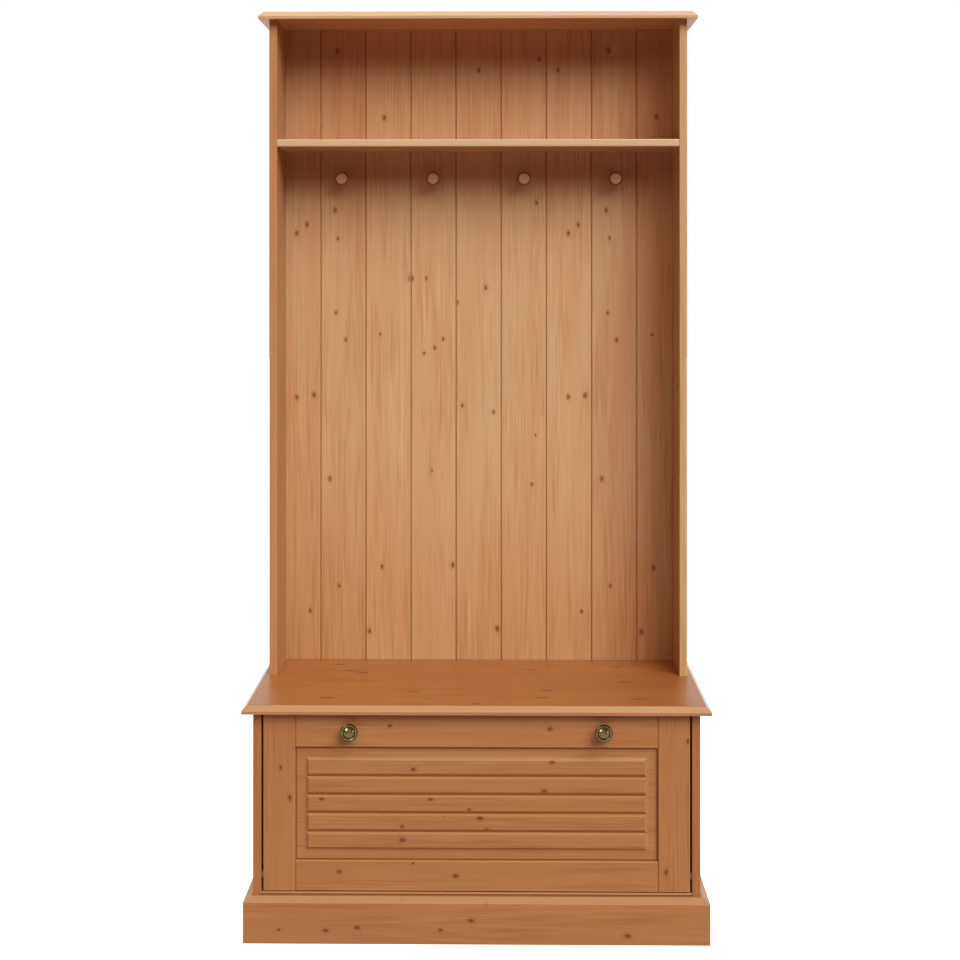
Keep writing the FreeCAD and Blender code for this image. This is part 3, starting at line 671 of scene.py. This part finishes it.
def knotted(tree, colour, knot, hues):
    """The board's colour with a halo and a brown core at each knot."""
    for ring, hue in ((KNOT_HALO, hues["summer"]), (KNOT_CORE, hues["knot"])):
        share = add(
            tree,
            "ShaderNodeMapRange",
            {"Value": knot, **ring},
            interpolation_type="SMOOTHSTEP",
        ).outputs["Result"]
        colour = add(
            tree, "ShaderNodeMix", {0: share, 6: colour, 7: hue}, data_type="RGBA"
        ).outputs[2]
    return colour


print("fibres drawn", FIBRE_STREAK_MM[0], "mm wide and", FIBRE_STREAK_MM[1], "mm long")

# %% [markdown]
# ## Edges, ends, painted sheen and painted shade
# Bevels and arrises are painted paler than the face: a painted highlight that stands in for
# the sheen they catch. Square edges get less of it, but for the front of the shelf, which
# gets more. End grain drinks the stain and is darker. The boards of the back are painted
# redder and darker towards the foot and above the shelf: painted shade near the bench and
# under the crown. All this follows from the way a surface faces and from its height, so no
# mask image is needed.

# %% Pine: edges, ends, painted sheen and painted shade
# The edge colour, mostly paler than the face, is a painted highlight for sheen on arrises
# How far a surface turns from the face, as the cosine: 1 on the face, 0 on a square edge
EDGE_RANGE = {"From Min": 0.95, "From Max": 0.75, "To Min": 0.0, "To Max": 0.9}
SQUARE_RANGE = {"From Min": 0.6, "From Max": 0.1, "To Min": 1.0}
# How much of that painted highlight square edges get, and more on the shelf's front
SQUARE_PAINTED_SHEEN = 0.15
SQUARE_PAINTED_SHEEN_BY_TONE = {"shelf": 0.75}
END_RANGE = {"From Min": 0.55, "From Max": 0.9, "To Min": 0.0, "To Max": 0.6}
BACK_TONES = ("pale", "rosy")
# Heights in millimetres where a painted shade begins and is full, and its tint: near the
# bench and under the crown
BACK_PAINTED_SHADE = ((1000.0, 430.0, "F1DFD1"), (1545.0, 1557.0, "F7EAE5"))


def paler_edges_painted_sheen(tree, colour, normal, face, tone, hues):
    """Paler colour on edges: a painted highlight for the sheen they catch."""
    out = add(
        tree, "ShaderNodeVectorMath", {0: normal, 1: AXES[face]}, operation="DOT_PRODUCT"
    ).outputs["Value"]
    flatness = add(tree, "ShaderNodeMath", {0: out}, operation="ABSOLUTE").outputs[0]
    on_edge = add(
        tree, "ShaderNodeMapRange", {"Value": flatness, **EDGE_RANGE}
    ).outputs["Result"]
    kept = SQUARE_PAINTED_SHEEN_BY_TONE.get(tone, SQUARE_PAINTED_SHEEN)
    square = add(
        tree, "ShaderNodeMapRange", {"Value": flatness, **SQUARE_RANGE, "To Max": kept}
    ).outputs["Result"]
    edge_sheen_share = add(
        tree, "ShaderNodeMath", {0: on_edge, 1: square}, operation="MULTIPLY"
    ).outputs[0]
    return add(
        tree, "ShaderNodeMix", {0: edge_sheen_share, 6: colour, 7: hues["edge"]}, data_type="RGBA"
    ).outputs[2]


def dark_ends(tree, colour, normal, grain, hues):
    """Darker colour where the grain is cut across."""
    along = add(
        tree, "ShaderNodeVectorMath", {0: normal, 1: AXES[grain]}, operation="DOT_PRODUCT"
    ).outputs["Value"]
    cut = add(tree, "ShaderNodeMath", {0: along, 1: along}, operation="MULTIPLY").outputs[0]
    end = add(tree, "ShaderNodeMapRange", {"Value": cut, **END_RANGE}).outputs["Result"]
    return add(
        tree, "ShaderNodeMix", {0: end, 6: colour, 7: hues["summer"]}, data_type="RGBA"
    ).outputs[2]


def painted_shade_on_back(tree, colour, place):
    """Redder, darker colour towards the foot of the boards and above the shelf: painted shade.
    """
    height = add(tree, "ShaderNodeSeparateXYZ", {0: place}).outputs["Z"]
    for none, full, tint in BACK_PAINTED_SHADE:
        tarnish_and_painted_shade = add(
            tree,
            "ShaderNodeMapRange",
            {"Value": height, "From Min": none, "From Max": full},
            interpolation_type="SMOOTHSTEP",
        ).outputs["Result"]
        colour = add(
            tree,
            "ShaderNodeMix",
            {0: tarnish_and_painted_shade, 6: colour, 7: linear(tint)},
            data_type="RGBA",
            blend_type="MULTIPLY",
        ).outputs[2]
    return colour


# The heights printed are those of the painted shade on the back boards
print("stained at", [f"{none:.0f} to {full:.0f} mm" for none, full, _ in BACK_PAINTED_SHADE])

# %% [markdown]
# ## The lacquer
# The pine stands under a satin lacquer. To the eye that is a sheen that only shows at a
# flat angle and breaks up a little along the grain, since the fibres stand proud and the
# lacquer sinks between them. A plain glossy surface would look like plastic, so the same
# fibres that colour the wood also move its roughness and a very low bump. The bench got
# a second coat and mirrors the boards behind it.

# %% Pine: the material
LACQUER_IOR = 1.42
SATIN_RANGE = {**NOISE_RANGE, "To Min": 0.5, "To Max": 0.42}
SECOND_COAT = {"bench": 0.5}
SECOND_COAT_ROUGHNESS = 0.3
RING_RELIEF = 0.6
RELIEF_MM = 0.3
RELIEF_STRENGTH = 0.2


def lacquered_pine(name, grain, face, tone):
    """Pine of one board: its own log, its own knots, one of the tones."""
    chance = random.Random(name)
    hues = {part: linear(value) for part, value in zip(HUES, TONES[tone])}
    material, tree = blank_material("lacquered_pine_" + name)
    place = place_in_mm(tree)
    normal = add(tree, "ShaderNodeTexCoord").outputs["Normal"]
    in_log = place_in_log(tree, place, name, grain, face, chance)
    seed = chance.uniform(*SEEDS)
    knot = knot_distance(tree, place, name, grain, face, chance)
    summer = summer_wood(tree, in_log, knot, seed)
    fibre = streaks(tree, in_log, *FIBRE_STREAK_MM, seed + 17.0, 3.0)
    colour = threaded_ground(tree, in_log, summer, fibre, hues, seed)
    colour = knotted(tree, colour, knot, hues)
    # Paler edges: a painted highlight for the sheen on bevels and arrises
    colour = paler_edges_painted_sheen(tree, colour, normal, face, tone, hues)
    colour = dark_ends(tree, colour, normal, grain, hues)
    # Painted shade towards the foot of the back boards and above the shelf
    if tone in BACK_TONES:
        colour = painted_shade_on_back(tree, colour, place)
    relief = add(
        tree, "ShaderNodeMath", {0: summer, 1: RING_RELIEF, 2: fibre}, operation="MULTIPLY_ADD"
    ).outputs[0]
    bump = add(
        tree,
        "ShaderNodeBump",
        {"Height": relief, "Strength": RELIEF_STRENGTH, "Distance": RELIEF_MM * MM},
    ).outputs[0]
    satin = add(tree, "ShaderNodeMapRange", {"Value": fibre, **SATIN_RANGE}).outputs["Result"]
    surface = add(
        tree,
        "ShaderNodeBsdfPrincipled",
        {
            "Base Color": colour,
            "Roughness": satin,
            "IOR": LACQUER_IOR,
            "Coat Weight": SECOND_COAT.get(tone, 0.0),
            "Coat Roughness": SECOND_COAT_ROUGHNESS,
            "Normal": bump,
        },
    )
    add(tree, "ShaderNodeOutputMaterial", {"Surface": surface.outputs[0]})
    return material


print("lacquer with an IOR of", LACQUER_IOR)

# %% [markdown]
# ## Which way the grain runs
# A joiner runs the grain along each piece: up the boards and the stiles, across the rails,
# the bench and the shelf. The table gives that for every piece of pine, with the side that
# faces out and the tone.

# %% Pine on every board
PINE = [
    # The end boards take painted shade from the uprights
    ("Z", "Y", "rosy", [f"back_board_{number}" for number in (1, 2, 8, 9)]),
    ("Z", "Y", "pale", [f"back_board_{number}" for number in range(3, 8)]),
    # The left upright's darker tone is partly painted shade
    ("Z", "X", "amber", ["upper_side_left"]),
    ("Z", "X", "honey", ["upper_side_right"]),
    ("Z", "X", "carcass", ["base_side_left", "base_side_right"]),
    ("Z", "X", "carcass", ["shoe_cheek_left", "shoe_cheek_right"]),
    ("Z", "Y", "deep", ["flap_stile_left", "flap_stile_right", "flap_stops"]),
    ("X", "Y", "deep", ["flap_rail_top", "flap_rail_bottom", "flap_panel"]),
    ("X", "Y", "deep", ["tray_lip_lower", "tray_lip_upper"]),
    ("X", "Y", "plinth", ["plinth_front"]),
    ("X", "Y", "pale", ["back_rail_top", "back_rail_peg", "back_rail_bottom"]),
    ("X", "Y", "pale", ["plinth_rear_rail"]),
    ("X", "Z", "bench", ["bench_top"]),
    ("X", "Z", "deep", ["bottom_board", "shoe_tray_lower", "shoe_tray_upper"]),
    ("X", "Z", "crown", ["crown_board"]),
    ("X", "Z", "shelf", ["hat_shelf"]),
    ("Y", "X", "plinth", ["plinth_left", "plinth_right"]),
    # The pegs' dark sides are painted shade round the head
    ("Y", "X", "peg", [f"coat_peg_{number}" for number in range(1, 5)]),
]
for grain, face, tone, names in PINE:
    for name in names:
        nodes[name].data.materials[0] = lacquered_pine(name, grain, face, tone)
print(sum(len(names) for *_, names in PINE), "pieces of pine")

# %% [markdown]
# ## Marking the arrises
# A sanded and lacquered edge is never sharp: it catches a thin line of light. The solids
# have the large bevels and rounds, and the last half millimetre is left to a bevel
# modifier. The loaded meshes are split along their edges, so a small geometry-node
# modifier first joins them, then marks the long sharp edges, and the bevel rounds only
# those. Short edges round drilled holes stay as they are.

# %% Arris marker
WELD_MM = 0.01
SHORTEST_ARRIS_MM = 1.5
SHARP_DEGREES = 28.0

arrises = bpy.data.node_groups.new("marked_arrises", "GeometryNodeTree")
arrises.interface.new_socket("Geometry", in_out="INPUT", socket_type="NodeSocketGeometry")
arrises.interface.new_socket("Geometry", in_out="OUTPUT", socket_type="NodeSocketGeometry")
source = add(arrises, "NodeGroupInput").outputs[0]
joined = add(
    arrises, "GeometryNodeMergeByDistance", {"Geometry": source, "Distance": WELD_MM * MM}
).outputs[0]
angle = add(arrises, "GeometryNodeInputMeshEdgeAngle").outputs["Unsigned Angle"]
sharp = add(
    arrises,
    "ShaderNodeMath",
    {0: angle, 1: math.radians(SHARP_DEGREES)},
    operation="GREATER_THAN",
).outputs[0]
smooth = add(
    arrises,
    "GeometryNodeSetMeshNormal",
    {"Mesh": joined, "Remove Custom": True, "Edge Sharpness": sharp, "Face Sharpness": False},
).outputs[0]
ends = add(arrises, "GeometryNodeInputMeshEdgeVertices").outputs
length = add(
    arrises,
    "ShaderNodeVectorMath",
    {0: ends["Position 1"], 1: ends["Position 2"]},
    operation="DISTANCE",
).outputs["Value"]
long_enough = add(
    arrises, "ShaderNodeMath", {0: length, 1: SHORTEST_ARRIS_MM * MM}, operation="GREATER_THAN"
).outputs[0]
weight = add(
    arrises, "ShaderNodeMath", {0: sharp, 1: long_enough}, operation="MULTIPLY"
).outputs[0]
marked = add(
    arrises,
    "GeometryNodeStoreNamedAttribute",
    {"Geometry": smooth, "Name": "bevel_weight_edge", "Value": weight},
    domain="EDGE",
    data_type="FLOAT",
).outputs[0]
add(arrises, "NodeGroupOutput", {0: marked})
print("arrises are longer than", SHORTEST_ARRIS_MM, "mm, over", SHARP_DEGREES, "degrees")

# %% [markdown]
# ## Rounding the arrises
# The bevel comes after the marker on every board. The flap's frame, the base sides and the
# bottom board have their arrises cut in the solid already, and a bevel on a bevel would
# turn tiny faces over, so they get the marker alone, which smooths their shading. The
# turned pegs have no arrises.

# %% Soft arrises
ARRIS_MM = 0.55
ARRIS_STEPS = 2
CUT_ARRISES = ("flap_stile", "flap_rail", "flap_panel", "base_side", "bottom_board")


def soften(board):
    """Join the mesh, mark its arrises, and round them where the solid hasn't."""
    marker = board.modifiers.new("marked_arrises", "NODES")
    marker.node_group = arrises
    if board.name.startswith(CUT_ARRISES):
        return
    bevel = board.modifiers.new("soft_arris", "BEVEL")
    bevel.limit_method = "WEIGHT"
    bevel.width = ARRIS_MM * MM
    bevel.segments = ARRIS_STEPS
    bevel.use_clamp_overlap = False
    bevel.harden_normals = True


boards = [name for *_, names in PINE for name in names if not name.startswith("coat_peg")]
for name in boards:
    soften(nodes[name])
rounded = [name for name in boards if not name.startswith(CUT_ARRISES)]
print(len(rounded), "of", len(boards), "boards with arrises of", ARRIS_MM, "mm")

# %% [markdown]
# ## Beech and plywood
# The dowels are turned beech, pale and close-grained, and hardly show. The back of the base
# is thin plywood with a rotary-cut face, whose figure is broad and plain. Both are even
# woods without knots, so broad streaks of two tones and a fine thread over them are enough.

# %% Even woods
THREADS_ACROSS = 12
THREADS_ALONG = 8
THREAD_RANGE = {**NOISE_RANGE, "To Min": 0.9, "To Max": 1.05}
THREAD_RELIEF_MM = 0.2
BARE_WOOD_IOR = 1.5


def plain_wood(name, pale, dark, width_mm, length_mm, grain, roughness):
    """Even wood without knots: streaks of two tones along the grain."""
    material, tree = blank_material(name)
    along = add(
        tree, "ShaderNodeMapping", {"Vector": place_in_mm(tree), "Rotation": GRAIN_TURNS[grain]}
    ).outputs[0]
    fine = streaks(tree, along, width_mm / THREADS_ACROSS, length_mm / THREADS_ALONG, 7.0)
    broad = add(
        tree,
        "ShaderNodeMapRange",
        {"Value": streaks(tree, along, width_mm, length_mm, 3.0, 3.0), **NOISE_RANGE},
    ).outputs["Result"]
    ground = add(
        tree, "ShaderNodeMix", {0: broad, 6: linear(pale), 7: linear(dark)}, data_type="RGBA"
    ).outputs[2]
    thread = add(tree, "ShaderNodeMapRange", {"Value": fine, **THREAD_RANGE}).outputs["Result"]
    colour = add(
        tree,
        "ShaderNodeMix",
        {0: 1.0, 6: ground, 7: thread},
        data_type="RGBA",
        blend_type="MULTIPLY",
    ).outputs[2]
    bump = add(
        tree,
        "ShaderNodeBump",
        {"Height": fine, "Strength": RELIEF_STRENGTH, "Distance": THREAD_RELIEF_MM * MM},
    ).outputs[0]
    surface = add(
        tree,
        "ShaderNodeBsdfPrincipled",
        {"Base Color": colour, "Roughness": roughness, "IOR": BARE_WOOD_IOR, "Normal": bump},
    )
    add(tree, "ShaderNodeOutputMaterial", {"Surface": surface.outputs[0]})
    return material


beech = plain_wood(
    "turned_beech", "D8B48C", "C79E72", width_mm=5.0, length_mm=60.0, grain="Z", roughness=0.6
)
plywood = plain_wood(
    "rotary_cut_plywood",
    "CBA077",
    "B98A60",
    width_mm=60.0,
    length_mm=700.0,
    grain="X",
    roughness=0.55,
)
print("woods", beech.name, plywood.name)

# %% [markdown]
# ## Aged brass knobs
# The knobs are turned brass that was darkened in an acid bath. To the eye that is an olive
# dome with a bright spark and a dark bead round it. So the colour follows the distance from
# the knob's own axis: the groove between dome and bead is paler, a painted light that lifts
# its shade, and the bead is nearly black, a painted dark reflection. A little cloudiness
# breaks it up, and a thin clear wax over the metal keeps the spark sharp.

# %% Brass
DARK_PATINA = "241A0C"
KNOB_RADIUS_MM = 17.0
# Share of the radius, and the colour there: olive dome, a paler groove that is painted
# light, and a nearly black bead that is painted dark reflection
BRASS_RINGS_WITH_PAINTED_LIGHT = (
    (0.0, "604C26"),
    (0.58, "5A4722"),
    (0.66, "9C8450"),
    (0.75, "94804E"),
    (0.82, "5E4A26"),
    (0.92, "2C210E"),
)
CLOUD_MM = 4.0
CLOUD_STAIN = {"From Min": 0.45, "From Max": 0.75, "To Min": 0.0, "To Max": 0.35}
CLOUD_HAZE = {**NOISE_RANGE, "To Min": 0.22, "To Max": 0.32}
WAX_WEIGHT = 0.4
WAX_ROUGHNESS = 0.16


def axis_distance(tree, place, name):
    """Distance from the knob's axis, as a share of its radius."""
    low, high = (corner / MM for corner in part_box(name))
    shifted = add(
        tree, "ShaderNodeVectorMath", {0: place, 1: (low + high) / 2}, operation="SUBTRACT"
    ).outputs[0]
    flat = add(
        tree, "ShaderNodeVectorMath", {0: shifted, 1: (1.0, 0.0, 1.0)}, operation="MULTIPLY"
    ).outputs[0]
    radius = add(tree, "ShaderNodeVectorMath", {0: flat}, operation="LENGTH").outputs["Value"]
    return add(
        tree, "ShaderNodeMath", {0: radius, 1: KNOB_RADIUS_MM}, operation="DIVIDE"
    ).outputs[0]


def aged_brass(name):
    """Brass coloured by the distance from the knob's axis, with painted light in the groove and
    a painted dark reflection on the bead.
    """
    material, tree = blank_material("aged_brass_" + name)
    place = place_in_mm(tree)
    # Paler groove: painted light; nearly black bead: painted dark reflection
    brass_with_painted_light = add(tree, "ShaderNodeValToRGB", {"Fac": axis_distance(tree, place, name)})
    stops = brass_with_painted_light.color_ramp.elements
    stops.remove(stops[1])
    for position, hue in BRASS_RINGS_WITH_PAINTED_LIGHT:
        stop = stops[0] if position == 0.0 else stops.new(position)
        stop.color = linear(hue)
    cloud = add(
        tree, "ShaderNodeTexNoise", {"Vector": place, "Scale": 1 / CLOUD_MM, "Detail": 3.0}
    ).outputs["Fac"]
    tarnish_and_painted_shade = add(tree, "ShaderNodeMapRange", {"Value": cloud, **CLOUD_STAIN}).outputs["Result"]
    colour = add(
        tree,
        "ShaderNodeMix",
        {0: tarnish_and_painted_shade, 6: brass_with_painted_light.outputs[0], 7: linear(DARK_PATINA)},
        data_type="RGBA",
    ).outputs[2]
    haze = add(tree, "ShaderNodeMapRange", {"Value": cloud, **CLOUD_HAZE}).outputs["Result"]
    surface = add(
        tree,
        "ShaderNodeBsdfPrincipled",
        {
            "Base Color": colour,
            "Metallic": 1.0,
            "Roughness": haze,
            "Coat Weight": WAX_WEIGHT,
            "Coat Roughness": WAX_ROUGHNESS,
        },
    )
    add(tree, "ShaderNodeOutputMaterial", {"Surface": surface.outputs[0]})
    return material


for name in KNOBS:
    nodes[name].data.materials[0] = aged_brass(name)
print("brass on", KNOBS)

# %% [markdown]
# ## Small hardware
# Screws and the strike are zinc-plated steel, grey with a cloudy sheen. The pivot pins are
# blackened steel, so they don't flash in the gap beside the flap. The pivot bushes and the
# case of the catch are moulded brown nylon, a little uneven, and the magnet is sintered
# ferrite, nearly black and grainy. Each is one stuff with a speckle, so one function
# serves them all. The real grains are finer than a picture shows, so they are drawn about
# half a millimetre to two millimetres wide.

# %% Hardware
SHEEN_SPREAD = 0.1
SPECKLE_RELIEF_MM = 0.1
SPECKLE_STRENGTH = 0.1


def speckled(name, pale, dark, grain_mm, metallic, roughness):
    """One plain stuff with cloudy speckle at its own grain size."""
    material, tree = blank_material(name)
    spot = add(tree, "ShaderNodeTexCoord").outputs["Object"]
    cloud = add(
        tree,
        "ShaderNodeTexNoise",
        {"Vector": spot, "Scale": 1 / (grain_mm * MM), "Detail": 3.0},
    ).outputs["Fac"]
    grains = add(tree, "ShaderNodeMapRange", {"Value": cloud, **NOISE_RANGE}).outputs["Result"]
    colour = add(
        tree, "ShaderNodeMix", {0: grains, 6: linear(pale), 7: linear(dark)}, data_type="RGBA"
    ).outputs[2]
    sheen = add(
        tree,
        "ShaderNodeMapRange",
        {"Value": cloud, "To Min": roughness - SHEEN_SPREAD, "To Max": roughness + SHEEN_SPREAD},
    ).outputs["Result"]
    bump = add(
        tree,
        "ShaderNodeBump",
        {"Height": cloud, "Strength": SPECKLE_STRENGTH, "Distance": SPECKLE_RELIEF_MM * MM},
    ).outputs[0]
    surface = add(
        tree,
        "ShaderNodeBsdfPrincipled",
        {"Base Color": colour, "Metallic": metallic, "Roughness": sheen, "Normal": bump},
    )
    add(tree, "ShaderNodeOutputMaterial", {"Surface": surface.outputs[0]})
    return material


finishes = {
    "beech": beech,
    "plywood": plywood,
    "steel": speckled(
        "zinc_plated_steel", "A9A9AA", "848588", grain_mm=2.0, metallic=1.0, roughness=0.4
    ),
    "nylon": speckled(
        "moulded_brown_nylon", "5A3B28", "4C3020", grain_mm=1.2, metallic=0.0, roughness=0.5
    ),
    "ferrite": speckled(
        "sintered_ferrite", "2B2B2D", "1C1C1E", grain_mm=0.6, metallic=0.0, roughness=0.7
    ),
}
for node in nodes.values():
    given = node.data.materials[0].name
    if given in finishes:
        node.data.materials[0] = finishes[given]
blackened = speckled(
    "blackened_steel", "2C2A28", "1B1A19", grain_mm=2.0, metallic=1.0, roughness=0.5
)
nodes["pivot_pins"].data.materials[0] = blackened
print("finishes", sorted({node.data.materials[0].name.split("_")[0] for node in nodes.values()}))
